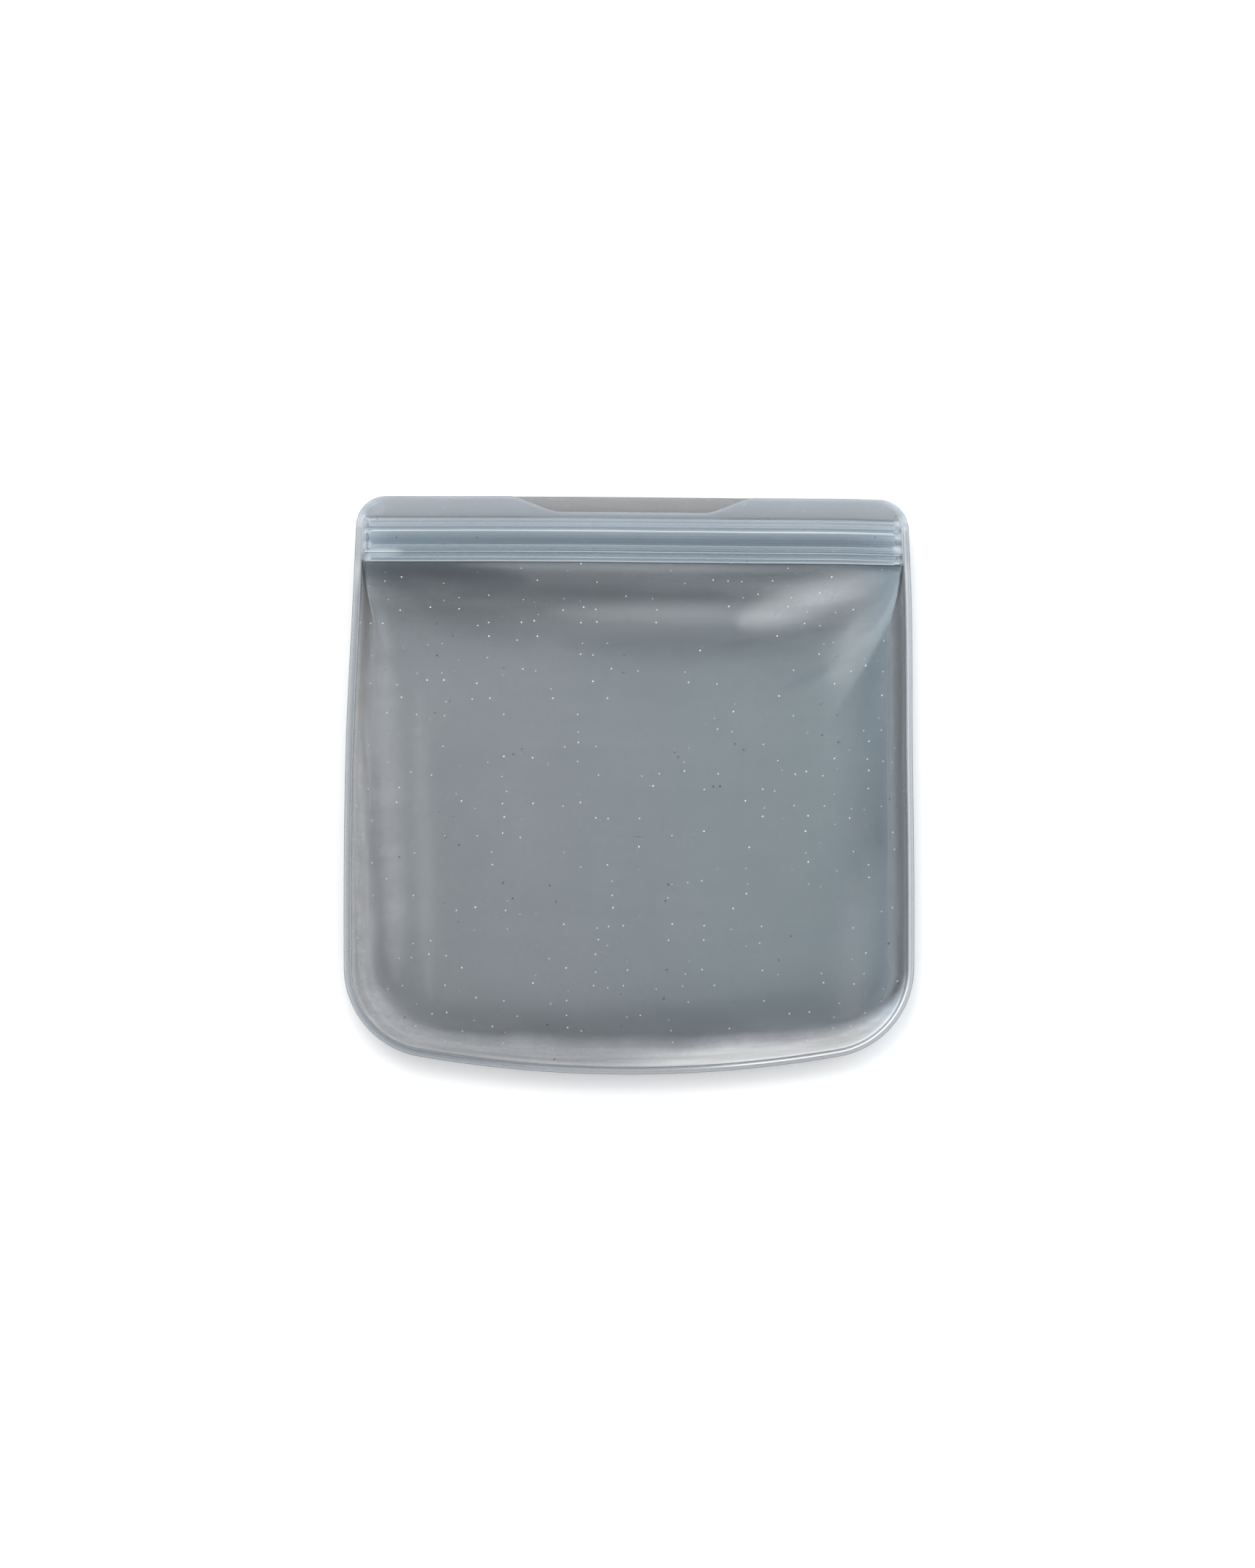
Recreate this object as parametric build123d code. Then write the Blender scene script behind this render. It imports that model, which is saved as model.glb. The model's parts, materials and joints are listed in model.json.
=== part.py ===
"""A reusable silicone food bag, closed, full of air and lying on its back.

X runs across the bag, Y from its bottom towards its mouth and Z up from the surface it lies on.
The origin is the middle of the bag's footprint. The two panels are welded together round the sides
and the bottom in one flat flange, whose mid-plane is at SEAM_LEVEL. The mouth is shut by two press
locks, each a tapered rib on the front strip in a channel on the back strip, and above them stand
two loose lips, the front one notched for a finger. Sizes are in millimetres.
"""

import os
from math import cos, radians, sin, sqrt

from build123d import *

os.makedirs("parts", exist_ok=True)

# Driving dimensions
BAG_WIDTH = 192.0
BAG_LENGTH = 194.6
BAG_HEIGHT = 36.0
SEAM_LEVEL = 11.0
FILM = 1.3
RUNNING_GAP = 0.3

# Plan outline: bowed sides, a bowed bottom, round corners
SIDE_RADIUS = 2760.0
WIDEST_Y = -45.0
BOTTOM_RADIUS = 414.0
BOTTOM_CORNER_RADIUS = 30.5
TOP_CORNER_RADIUS = 9.5
HALF_WIDTH = BAG_WIDTH / 2
TOP_Y = BAG_LENGTH / 2
BOTTOM_Y = -BAG_LENGTH / 2

# Welded flange
FLANGE_WIDTH = 3.0
FLANGE_THICKNESS = 2.4
WELD_FIT = 0.05

# Mouth, from the lips' free edge down
LIP_HEIGHT = 7.1
LIP_THICKNESS = 1.3
LIP_CLEARANCE = 0.25
NOTCH_TOP_WIDTH = 81.0
NOTCH_FLOOR_WIDTH = 50.0
NOTCH_DEPTH = 5.1
ZIP_HEIGHT = 14.7
ZIP_TOP_Y = TOP_Y - LIP_HEIGHT
ZIP_FOOT_Y = ZIP_TOP_Y - ZIP_HEIGHT

# Strips, as heights from the seam's mid-plane
FRONT_STRIP_UNDER = 0.9
FRONT_STRIP_FACE = 2.1
FRONT_RIDGE_FACE = 3.3
BACK_STRIP_UPPER = 1.4
BACK_STRIP_FACE = 2.6
BACK_RIDGE_FACE = 3.3
RIDGE_WIDTH = 4.2
RIDGE_BEVEL = 0.5
MID_RIDGE_FROM_TOP = 9.2
MID_RIDGE_WIDTH = 1.4
MID_RIDGE_HEIGHT = 0.45

# Press locks
LOCK_FROM_EDGE = 2.4
RIB_HEIGHT = 1.85
RIB_FOOT_HALF = 1.45
RIB_TIP_HALF = 0.45
CHANNEL_CLEARANCE = 0.2
CHANNEL_HALF_WIDTH = 2.1
END_SEAL_HALF = 86.5

# Pouch: how far in, and how far below the strips, each panel takes to reach its full height
DOME_RUN = 56.0
DOME_ZIP_RUN = 76.0
DOME_ZIP_LEAD = 4.85
FLOOR_RUN = 15.0
FLOOR_ZIP_RUN = 34.0
FLOOR_ZIP_LEAD = 5.3
ZIP_CORNER_RADIUS = 3.0
CROWN_CORNER_RADIUS = 20.0
SECTION_ANGLES = (0, 18, 36, 54, 72, 90)

# The front panel bends here when the mouth opens
MOUTH_HINGE_Y = 38.0

DOME_HEIGHT = BAG_HEIGHT - SEAM_LEVEL
CUTTER = 400.0


def side_x(y, inset=0.0):
    """The right side's x at height y, moved in by inset."""
    return HALF_WIDTH - SIDE_RADIUS + sqrt((SIDE_RADIUS - inset) ** 2 - (y - WIDEST_Y) ** 2)


def bottom_y(x, inset=0.0):
    """The bottom edge's y at x, moved in by inset."""
    return BOTTOM_Y + BOTTOM_RADIUS - sqrt((BOTTOM_RADIUS - inset) ** 2 - x**2)


def bottom_corner(inset):
    """Where the right side would meet the bottom edge if the corner were sharp."""
    x, y = HALF_WIDTH - inset, BOTTOM_Y
    for _ in range(8):
        y = bottom_y(x, inset)
        x = side_x(y, inset)
    return x, y


def section(inset, top, corner_radius, top_radius):
    """The plan outline moved in by inset and closed by a straight edge at y = top."""
    corner_x, corner_y = bottom_corner(inset)
    middle_y = (top + corner_y) / 2
    top_x, middle_x = side_x(top, inset), side_x(middle_y, inset)
    edges = [
        Line((-top_x, top), (top_x, top)),
        ThreePointArc((top_x, top), (middle_x, middle_y), (corner_x, corner_y)),
        ThreePointArc((corner_x, corner_y), (0, bottom_y(0, inset)), (-corner_x, corner_y)),
        ThreePointArc((-corner_x, corner_y), (-middle_x, middle_y), (-top_x, top)),
    ]
    face = make_face(edges).face()
    lower = [v for v in face.vertices() if v.Y < middle_y]
    face = face.fillet_2d(corner_radius, lower)
    if top_radius:
        upper = [v for v in face.vertices() if abs(v.Y - top) < 0.01]
        face = face.fillet_2d(top_radius, upper)
    return face


def prism(face, low, high):
    """The plan face as a solid between two heights."""
    return Pos(0, 0, low) * extrude(face, high - low, dir=(0, 0, 1))


def slab(low, high):
    """All that lies between two corners, either of which may leave a value as None."""
    low = [-CUTTER if v is None else v for v in low]
    high = [CUTTER if v is None else v for v in high]
    size = [b - a for a, b in zip(low, high)]
    middle = [(a + b) / 2 for a, b in zip(low, high)]
    return Pos(*middle) * Box(*size)


def half_pouch(rise, run, zip_run, zip_lead, direction, inner):
    """One side of the pouch as a solid, from the flange's mid-plane to its crown or floor.

    Each section is a step along a quarter ellipse from the flange, and along a quarter sine from
    the strips. The inner solid is the same, one film's thickness in along the section's angle.
    """
    wall = FILM if inner else 0.0
    faces = []
    for angle in SECTION_ANGLES:
        turn = radians(angle)
        inset = FLANGE_WIDTH + WELD_FIT + run * (1 - cos(turn)) + wall * cos(turn)
        top = ZIP_FOOT_Y + zip_lead - zip_run * angle / 90 - wall * cos(turn)
        height = SEAM_LEVEL + direction * (rise - wall) * sin(turn)
        share = angle / 90
        seam_corner = BOTTOM_CORNER_RADIUS - FLANGE_WIDTH - wall
        corner = seam_corner + (CROWN_CORNER_RADIUS - seam_corner) * share
        top_corner = ZIP_CORNER_RADIUS + (CROWN_CORNER_RADIUS - ZIP_CORNER_RADIUS) * share**2
        faces.append(Pos(0, 0, height) * section(inset, top, corner, top_corner))
    return loft(faces)


DOME = (DOME_HEIGHT, DOME_RUN, DOME_ZIP_RUN, DOME_ZIP_LEAD, 1)
TRAY = (SEAM_LEVEL, FLOOR_RUN, FLOOR_ZIP_RUN, FLOOR_ZIP_LEAD, -1)


def front_film():
    """The whole front panel below the strips."""
    film = half_pouch(*DOME, False) - half_pouch(*DOME, True)
    film &= slab((None, None, None), (None, ZIP_FOOT_Y, None))
    under_strip = slab(
        (None, ZIP_FOOT_Y - 2 * FILM, None),
        (None, None, SEAM_LEVEL + FRONT_STRIP_UNDER),
    )
    return film - under_strip


def back_film():
    """The whole back panel below the strips."""
    film = half_pouch(*TRAY, False) - half_pouch(*TRAY, True)
    film &= slab((None, None, None), (None, ZIP_FOOT_Y, None))
    over_strip = slab(
        (None, ZIP_FOOT_Y - 2 * FILM, SEAM_LEVEL - BACK_STRIP_UPPER),
        (None, None, None),
    )
    return film - over_strip


def make_front_panel():
    """The part of the front film that stays with the pouch."""
    return front_film() & slab((None, None, None), (None, MOUTH_HINGE_Y - RUNNING_GAP / 2, None))


def make_front_mouth_panel():
    """The part of the front film that lifts with the front strip, clear of the flange."""
    clear = section(FLANGE_WIDTH + RUNNING_GAP, ZIP_FOOT_Y, BOTTOM_CORNER_RADIUS, 0)
    film = front_film() & prism(clear, SEAM_LEVEL + RUNNING_GAP, BAG_HEIGHT + FILM)
    return film & slab((None, MOUTH_HINGE_Y + RUNNING_GAP / 2, None), (None, None, None))


def flange():
    """The weld round the sides and the bottom, as far up as the strips reach."""
    top = ZIP_TOP_Y - RUNNING_GAP
    outer = section(0, top, BOTTOM_CORNER_RADIUS, 0)
    inner = section(FLANGE_WIDTH, top + FLANGE_WIDTH, BOTTOM_CORNER_RADIUS - FLANGE_WIDTH, 0)
    low, high = SEAM_LEVEL - FLANGE_THICKNESS / 2, SEAM_LEVEL + FLANGE_THICKNESS / 2
    return prism(outer, low, high) - prism(inner, low, high)


def make_seams():
    """The flange in three lengths: left side, right side and bottom with both corners."""
    whole = flange()
    bend_y = BOTTOM_Y + BOTTOM_CORNER_RADIUS + FLANGE_WIDTH
    return {
        "left_side_seam": whole & slab((None, bend_y, None), (0, None, None)),
        "right_side_seam": whole & slab((0, bend_y, None), (None, None, None)),
        "bottom_seam": whole & slab((None, None, None), (None, bend_y, None)),
    }


def across(profile, half_length):
    """A closed Y-Z profile, heights from the seam's mid-plane, run across the bag."""
    points = [(y, SEAM_LEVEL + z) for y, z in profile]
    outline = Plane.YZ * make_face(Polyline(*points, close=True))
    return extrude(outline, half_length, both=True)


def ridge(low_y, high_y, foot, face):
    """A bevelled ridge's profile points, from its low edge to its high edge."""
    bevel = RIDGE_BEVEL if face > foot else -RIDGE_BEVEL
    return [
        (low_y, face - bevel),
        (low_y + RIDGE_BEVEL, face),
        (high_y - RIDGE_BEVEL, face),
        (high_y, face - bevel),
        (high_y, foot),
    ]


def make_front_strip():
    """The front strip: flat inside, with a ridge over each lock and a low one between them."""
    mid_y = ZIP_TOP_Y - MID_RIDGE_FROM_TOP
    mid_low, mid_high = mid_y - MID_RIDGE_WIDTH / 2, mid_y + MID_RIDGE_WIDTH / 2
    profile = [
        (ZIP_FOOT_Y, FRONT_STRIP_UNDER),
        *ridge(ZIP_FOOT_Y, ZIP_FOOT_Y + RIDGE_WIDTH, FRONT_STRIP_FACE, FRONT_RIDGE_FACE),
        (mid_low, FRONT_STRIP_FACE),
        (mid_low + MID_RIDGE_HEIGHT, FRONT_STRIP_FACE + MID_RIDGE_HEIGHT),
        (mid_high - MID_RIDGE_HEIGHT, FRONT_STRIP_FACE + MID_RIDGE_HEIGHT),
        (mid_high, FRONT_STRIP_FACE),
        (ZIP_TOP_Y - RIDGE_WIDTH, FRONT_STRIP_FACE),
        *ridge(ZIP_TOP_Y - RIDGE_WIDTH, ZIP_TOP_Y, FRONT_STRIP_UNDER, FRONT_RIDGE_FACE),
    ]
    clear = section(FLANGE_WIDTH + RUNNING_GAP, TOP_Y, BOTTOM_CORNER_RADIUS, 0)
    return across(profile, HALF_WIDTH) & prism(clear, 0, BAG_HEIGHT)


def make_back_strip():
    """The back strip: flat inside, with a ridge under each lock, and welded to the flange."""
    profile = [
        (ZIP_FOOT_Y, -BACK_STRIP_UPPER),
        *ridge(ZIP_FOOT_Y, ZIP_FOOT_Y + RIDGE_WIDTH, -BACK_STRIP_FACE, -BACK_RIDGE_FACE),
        (ZIP_TOP_Y - RIDGE_WIDTH, -BACK_STRIP_FACE),
        *ridge(ZIP_TOP_Y - RIDGE_WIDTH, ZIP_TOP_Y, -BACK_STRIP_UPPER, -BACK_RIDGE_FACE),
    ]
    inside = section(FLANGE_WIDTH, TOP_Y, BOTTOM_CORNER_RADIUS, 0)
    return across(profile, HALF_WIDTH) & prism(inside, 0, BAG_HEIGHT)


def make_rib(lock_y):
    """A tapered rib hanging from the front strip."""
    tip = FRONT_STRIP_UNDER - RIB_HEIGHT
    profile = [
        (lock_y - RIB_FOOT_HALF, FRONT_STRIP_UNDER),
        (lock_y + RIB_FOOT_HALF, FRONT_STRIP_UNDER),
        (lock_y + RIB_TIP_HALF, tip),
        (lock_y - RIB_TIP_HALF, tip),
    ]
    return across(profile, END_SEAL_HALF - RUNNING_GAP)


def make_channel(lock_y):
    """The two walls of the channel that holds a rib, both standing on the back strip."""
    taper = (RIB_FOOT_HALF - RIB_TIP_HALF) / RIB_HEIGHT
    tip = FRONT_STRIP_UNDER - RIB_HEIGHT
    foot, crest = -BACK_STRIP_UPPER, FRONT_STRIP_UNDER - RUNNING_GAP
    foot_half = RIB_TIP_HALF + CHANNEL_CLEARANCE + (foot - tip) * taper
    crest_half = RIB_TIP_HALF + CHANNEL_CLEARANCE + (crest - tip) * taper
    walls = []
    for way in (-1, 1):
        profile = [
            (lock_y + way * foot_half, foot),
            (lock_y + way * crest_half, crest),
            (lock_y + way * CHANNEL_HALF_WIDTH, crest),
            (lock_y + way * CHANNEL_HALF_WIDTH, foot),
        ]
        walls.append(across(profile, END_SEAL_HALF))
    return Compound(children=[wall.solid() for wall in walls])


def make_end_seal(way):
    """The plug that closes the channels' end and ties both strips to the flange."""
    inside = section(FLANGE_WIDTH, TOP_Y, BOTTOM_CORNER_RADIUS, 0)
    plug = prism(
        inside,
        SEAM_LEVEL - BACK_STRIP_UPPER,
        SEAM_LEVEL + FRONT_STRIP_UNDER - RUNNING_GAP,
    )
    if way < 0:
        return plug & slab((None, ZIP_FOOT_Y, None), (-END_SEAL_HALF, ZIP_TOP_Y, None))
    return plug & slab((END_SEAL_HALF, ZIP_FOOT_Y, None), (None, ZIP_TOP_Y, None))


def lip_plan(foot):
    """Either lip's plan: full width, with the bag's round top corners."""
    whole = section(0, TOP_Y, BOTTOM_CORNER_RADIUS, TOP_CORNER_RADIUS)
    return prism(whole, 0, BAG_HEIGHT) & slab((None, foot, None), (None, None, None))


def make_front_lip():
    """The front lip, cut down in the middle so that a finger reaches the back one."""
    low = SEAM_LEVEL + LIP_CLEARANCE
    lip = lip_plan(ZIP_TOP_Y) & slab((None, None, low), (None, None, low + LIP_THICKNESS))
    notch = make_face(
        Polyline(
            (-NOTCH_TOP_WIDTH / 2, TOP_Y),
            (-NOTCH_FLOOR_WIDTH / 2, TOP_Y - NOTCH_DEPTH),
            (NOTCH_FLOOR_WIDTH / 2, TOP_Y - NOTCH_DEPTH),
            (NOTCH_TOP_WIDTH / 2, TOP_Y),
            close=True,
        )
    )
    return lip - prism(notch, 0, BAG_HEIGHT)


def make_back_lip():
    """The back lip, which folds back from the strip by itself."""
    high = SEAM_LEVEL - LIP_CLEARANCE
    plan = lip_plan(ZIP_TOP_Y + RUNNING_GAP)
    return plan & slab((None, None, high - LIP_THICKNESS), (None, None, high))


def make_bag():
    """Every node of the bag by name."""
    upper_lock_y = ZIP_TOP_Y - LOCK_FROM_EDGE
    lower_lock_y = ZIP_FOOT_Y + LOCK_FROM_EDGE
    return {
        "back_panel": back_film(),
        "front_panel": make_front_panel(),
        **make_seams(),
        "back_zip_strip": make_back_strip(),
        "upper_lock_channel": make_channel(upper_lock_y),
        "lower_lock_channel": make_channel(lower_lock_y),
        "left_end_seal": make_end_seal(-1),
        "right_end_seal": make_end_seal(1),
        "front_mouth_panel": make_front_mouth_panel(),
        "front_zip_strip": make_front_strip(),
        "upper_lock_rib": make_rib(upper_lock_y),
        "lower_lock_rib": make_rib(lower_lock_y),
        "front_lip": make_front_lip(),
        "back_lip": make_back_lip(),
    }


for name, shape in make_bag().items():
    export_step(shape, f"parts/{name}.step")

hinge_angle = (ZIP_FOOT_Y + DOME_ZIP_LEAD - MOUTH_HINGE_Y) / DOME_ZIP_RUN * 90
hinge_z = SEAM_LEVEL + DOME_HEIGHT * sin(radians(hinge_angle))
print("mouth hinge: y", MOUTH_HINGE_Y, "z", round(hinge_z, 3))
print("back lip hinge: y", ZIP_TOP_Y, "z", SEAM_LEVEL - LIP_CLEARANCE - LIP_THICKNESS)
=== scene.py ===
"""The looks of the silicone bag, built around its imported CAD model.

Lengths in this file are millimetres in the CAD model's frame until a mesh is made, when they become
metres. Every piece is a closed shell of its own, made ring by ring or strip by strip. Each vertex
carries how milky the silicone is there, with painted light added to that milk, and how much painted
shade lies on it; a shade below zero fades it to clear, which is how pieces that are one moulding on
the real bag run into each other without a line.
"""

import json
from math import cos, pi, radians, sqrt

import bmesh
import bpy
import numpy as np
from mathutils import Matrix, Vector, noise


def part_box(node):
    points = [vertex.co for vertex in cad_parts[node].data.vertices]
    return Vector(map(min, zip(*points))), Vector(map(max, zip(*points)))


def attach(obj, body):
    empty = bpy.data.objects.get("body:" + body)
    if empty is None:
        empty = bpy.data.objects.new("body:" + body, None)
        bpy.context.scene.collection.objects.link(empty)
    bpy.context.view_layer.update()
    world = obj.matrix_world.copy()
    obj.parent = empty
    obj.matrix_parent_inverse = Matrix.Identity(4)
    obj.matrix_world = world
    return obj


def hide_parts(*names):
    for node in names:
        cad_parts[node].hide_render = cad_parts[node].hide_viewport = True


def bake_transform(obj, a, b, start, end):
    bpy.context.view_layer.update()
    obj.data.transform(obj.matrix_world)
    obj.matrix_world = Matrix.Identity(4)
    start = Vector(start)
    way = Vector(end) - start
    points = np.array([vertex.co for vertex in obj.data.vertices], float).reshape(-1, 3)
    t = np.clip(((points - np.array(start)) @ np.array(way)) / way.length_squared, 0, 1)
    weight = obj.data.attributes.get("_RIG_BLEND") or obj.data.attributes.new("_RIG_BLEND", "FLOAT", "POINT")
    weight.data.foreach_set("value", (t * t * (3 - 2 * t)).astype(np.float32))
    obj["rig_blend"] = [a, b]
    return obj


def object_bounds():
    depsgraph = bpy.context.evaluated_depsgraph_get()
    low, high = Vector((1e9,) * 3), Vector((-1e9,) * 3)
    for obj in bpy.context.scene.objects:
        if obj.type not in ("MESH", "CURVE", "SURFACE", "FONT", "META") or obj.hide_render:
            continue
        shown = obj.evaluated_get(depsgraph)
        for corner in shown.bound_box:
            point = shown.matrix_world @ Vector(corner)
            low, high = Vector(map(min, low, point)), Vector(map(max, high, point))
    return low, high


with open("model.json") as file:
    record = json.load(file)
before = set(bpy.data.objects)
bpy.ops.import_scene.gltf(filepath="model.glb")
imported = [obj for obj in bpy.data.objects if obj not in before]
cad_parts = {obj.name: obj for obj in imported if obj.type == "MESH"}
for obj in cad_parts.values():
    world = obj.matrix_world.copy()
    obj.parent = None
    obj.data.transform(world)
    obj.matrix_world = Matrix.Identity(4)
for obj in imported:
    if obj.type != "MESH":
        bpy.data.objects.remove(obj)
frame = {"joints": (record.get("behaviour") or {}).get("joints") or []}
cad_low, cad_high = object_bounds()

MM = 0.001


def span(node, axis):
    """A CAD node's lowest and highest place along an axis, in millimetres."""
    low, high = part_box(node)
    return low[axis] / MM, high[axis] / MM


X, Y, Z = 0, 1, 2
BOTTOM_Y, TOP_Y = cad_low[Y] / MM, cad_high[Y] / MM
HALF_WIDTH = cad_high[X] / MM
BAG_HEIGHT = cad_high[Z] / MM
ZIP_FOOT_Y, ZIP_TOP_Y = span("front_zip_strip", Y)
SEAM_LEVEL = sum(span("bottom_seam", Z)) / 2
STRIP_UNDER = span("front_zip_strip", Z)[0] - SEAM_LEVEL
FLANGE_WIDTH = 3.0
FILM = 1.1

# Plan outline, as in the CAD model apart from a slightly rounder top corner
SIDE_RADIUS = 2760.0
WIDEST_Y = -45.0
BOTTOM_RADIUS = 414.0
BOTTOM_CORNER_RADIUS = 30.5
TOP_CORNER = 9.8
SIDE_CENTRE = np.array((HALF_WIDTH - SIDE_RADIUS, WIDEST_Y))
BOTTOM_CENTRE = np.array((0.0, BOTTOM_Y + BOTTOM_RADIUS))

# How far each panel takes to reach its full height, as in the CAD model
DOME_HEIGHT = BAG_HEIGHT - SEAM_LEVEL
DOME_RUN, DOME_ZIP_RUN, DOME_ZIP_LEAD = 56.0, 76.0, 4.85
FLOOR_RUN, FLOOR_ZIP_RUN, FLOOR_ZIP_LEAD = 15.0, 34.0, 5.3
CROWN_CORNER_RADIUS = 20.0


# ---------------------------------------------------------------- outline


def side_x(y, inset=0.0):
    """The right side's x at height y, moved in by inset."""
    return SIDE_CENTRE[X] + sqrt((SIDE_RADIUS - inset) ** 2 - (y - WIDEST_Y) ** 2)


def outer_x(y):
    """The right side's x at height y, round the mouth's corner too."""
    over = np.clip(y - (TOP_Y - TOP_CORNER), 0, TOP_CORNER)
    return side_x(y - over) - TOP_CORNER + np.sqrt(TOP_CORNER**2 - over**2)


def bottom_y(x, inset=0.0):
    """The bottom edge's y at x, moved in by inset."""
    return BOTTOM_CENTRE[Y] - sqrt((BOTTOM_RADIUS - inset) ** 2 - x**2)


def arc(centre, start, end, count):
    """Points on a small arc from start to end round centre, without its end."""
    first, last = np.subtract(start, centre), np.subtract(end, centre)
    a = np.arctan2(first[1], first[0])
    turn = (np.arctan2(last[1], last[0]) - a + pi) % (2 * pi) - pi
    radius = np.hypot(*first)
    steps = a + turn * np.arange(count) / count
    return np.stack((centre[0] + radius * np.cos(steps), centre[1] + radius * np.sin(steps)), 1)


def outline(inset, top, corner, top_corner, counts):
    """The closed plan outline moved in by inset, clockwise from the middle of its top edge."""
    n_top, n_top_corner, n_side, n_corner, n_bottom = counts
    top_corner = max(top_corner, 0.05)
    tc_y = top - top_corner
    tc = np.array((side_x(tc_y, inset + top_corner), tc_y))
    cy = BOTTOM_Y + inset + corner
    for _ in range(12):
        cx = side_x(cy, inset + corner)
        cy = bottom_y(cx, inset + corner)
    c = np.array((cx, cy))

    def out_from(centre, point, radius):
        way = (point - centre) / np.hypot(*(point - centre))
        return centre + way * radius

    tc_side = out_from(SIDE_CENTRE, tc, SIDE_RADIUS - inset)
    c_side = out_from(SIDE_CENTRE, c, SIDE_RADIUS - inset)
    c_bottom = out_from(BOTTOM_CENTRE, c, BOTTOM_RADIUS - inset)
    along = np.linspace(0, 1, n_top, endpoint=False)[:, None]
    top_edge = np.array((0, top)) + along * (np.array((tc[0], top)) - np.array((0, top)))
    half = np.concatenate(
        (
            top_edge,
            arc(tc, (tc[0], top), tc_side, n_top_corner),
            arc(SIDE_CENTRE, tc_side, c_side, n_side),
            arc(c, c_side, c_bottom, n_corner),
            arc(BOTTOM_CENTRE, c_bottom, (0, bottom_y(0, inset)), n_bottom),
            np.array(((0, bottom_y(0, inset)),)),
        )
    )
    other = half[-2:0:-1] * (-1, 1)
    return np.concatenate((half, other))


# ---------------------------------------------------------------- mesh makers


def smooth_step(t):
    """0 up to t = 0 and 1 from t = 1, with a smooth rise between."""
    t = np.clip(t, 0, 1)
    return t * t * (3 - 2 * t)


def make_piece(name, points, faces):
    """A smooth-shaded object from points in millimetres, with its mouth end drooped."""
    mesh = bpy.data.meshes.new(name)
    points = droop(np.asarray(points, float))
    mesh.from_pydata([tuple(p) for p in points * MM], [], faces)
    mesh.validate()
    obj = bpy.data.objects.new(name, mesh)
    bpy.context.scene.collection.objects.link(obj)
    bm = bmesh.new()
    bm.from_mesh(mesh)
    bmesh.ops.recalc_face_normals(bm, faces=bm.faces)
    bm.to_mesh(mesh)
    bm.free()
    for polygon in mesh.polygons:
        polygon.use_smooth = True
    return obj


def droop(points):
    """The mouth hangs a little lower towards its right end, and leans that way."""
    points = points.copy()
    x, y = points[:, X].copy(), points[:, Y].copy()
    sag = 0.95 * smooth_step((x + 45) / 135) + 0.40 * smooth_step((x - 68) / 24)
    points[:, Y] -= sag * smooth_step((y - 35) / 35)
    points[:, X] += (1.0 + 0.3 * smooth_step((x + 60) / 120)) * smooth_step((y - 2) / 72)
    return points


def keep_place(obj):
    """Stores each vertex's place at rest, so that a pattern stays put when the piece bends."""
    mesh = obj.data
    place = mesh.attributes.new("place", "FLOAT_VECTOR", "POINT")
    points = np.zeros(len(mesh.vertices) * 3, np.float32)
    mesh.vertices.foreach_get("co", points)
    place.data.foreach_set("vector", points)


def paint(obj, milk=0.0, shade=0.0, edge=0.0, flow=None):
    """Stores how milky each vertex is, painted light included, its painted shade, how near an edge, and the
    way along that edge.
    """
    mesh = obj.data
    total = len(mesh.vertices)
    for name, values in (("milk", milk), ("shade", shade), ("edge", edge)):
        layer = mesh.attributes.new(name, "FLOAT", "POINT")
        layer.data.foreach_set("value", np.zeros(total, np.float32) + np.asarray(values, np.float32))
    layer = mesh.attributes.new("flow", "FLOAT_VECTOR", "POINT")
    flow = np.zeros((total, 3)) if flow is None else np.asarray(flow) * MM
    layer.data.foreach_set("vector", flow.astype(np.float32).ravel())


def apply_modifiers(obj):
    """Turns the object's modifiers into plain mesh."""
    graph = bpy.context.evaluated_depsgraph_get()
    mesh = bpy.data.meshes.new_from_object(obj.evaluated_get(graph), depsgraph=graph)
    obj.modifiers.clear()
    obj.data = mesh


def thicken(obj, wall):
    """Gives an open skin its wall. The new skin's vertices follow the first one's in the same order."""
    modifier = obj.modifiers.new("wall", "SOLIDIFY")
    modifier.thickness = wall * MM
    modifier.offset = -1.0
    modifier.use_even_offset = True
    modifier.use_quality_normals = True
    apply_modifiers(obj)


def ring_faces(rings, count):
    """Quads between successive closed rings."""
    faces = []
    for j in range(rings - 1):
        for i in range(count):
            k = (i + 1) % count
            faces.append((j * count + i, j * count + k, (j + 1) * count + k, (j + 1) * count + i))
    return faces


def wave(x, y, size, seed):
    """Smooth noise from -1 to 1 with features about size millimetres across."""
    return noise.noise(Vector((x / size, y / size, seed)))


def waves(x, y, size, seed):
    """The same for arrays."""
    flat = [wave(a, b, size, seed) for a, b in zip(np.ravel(x), np.ravel(y))]
    return np.array(flat).reshape(np.shape(x))


def smudge(x, y, start, end, width, soft=1.0):
    """A soft stroke from start to end: 1 on its line, falling to 0 at width from it."""
    start, end = np.array(start, float), np.array(end, float)
    way = end - start
    length = np.hypot(*way)
    along = ((x - start[0]) * way[0] + (y - start[1]) * way[1]) / length**2
    off = ((x - start[0]) * way[1] - (y - start[1]) * way[0]) / length
    lens = np.clip(1 - (2 * along - 1) ** 2, 0, 1) ** 0.5
    reach = np.abs(off) / (width * np.maximum(lens, 0.02))
    return np.exp(-((reach * 1.5) ** (2 * soft))) * lens


# ---------------------------------------------------------------- films

COUNTS = (40, 8, 56, 22, 40)
RINGS = 52
CAP_RINGS = 14
FILM_START = 2.45


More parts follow.
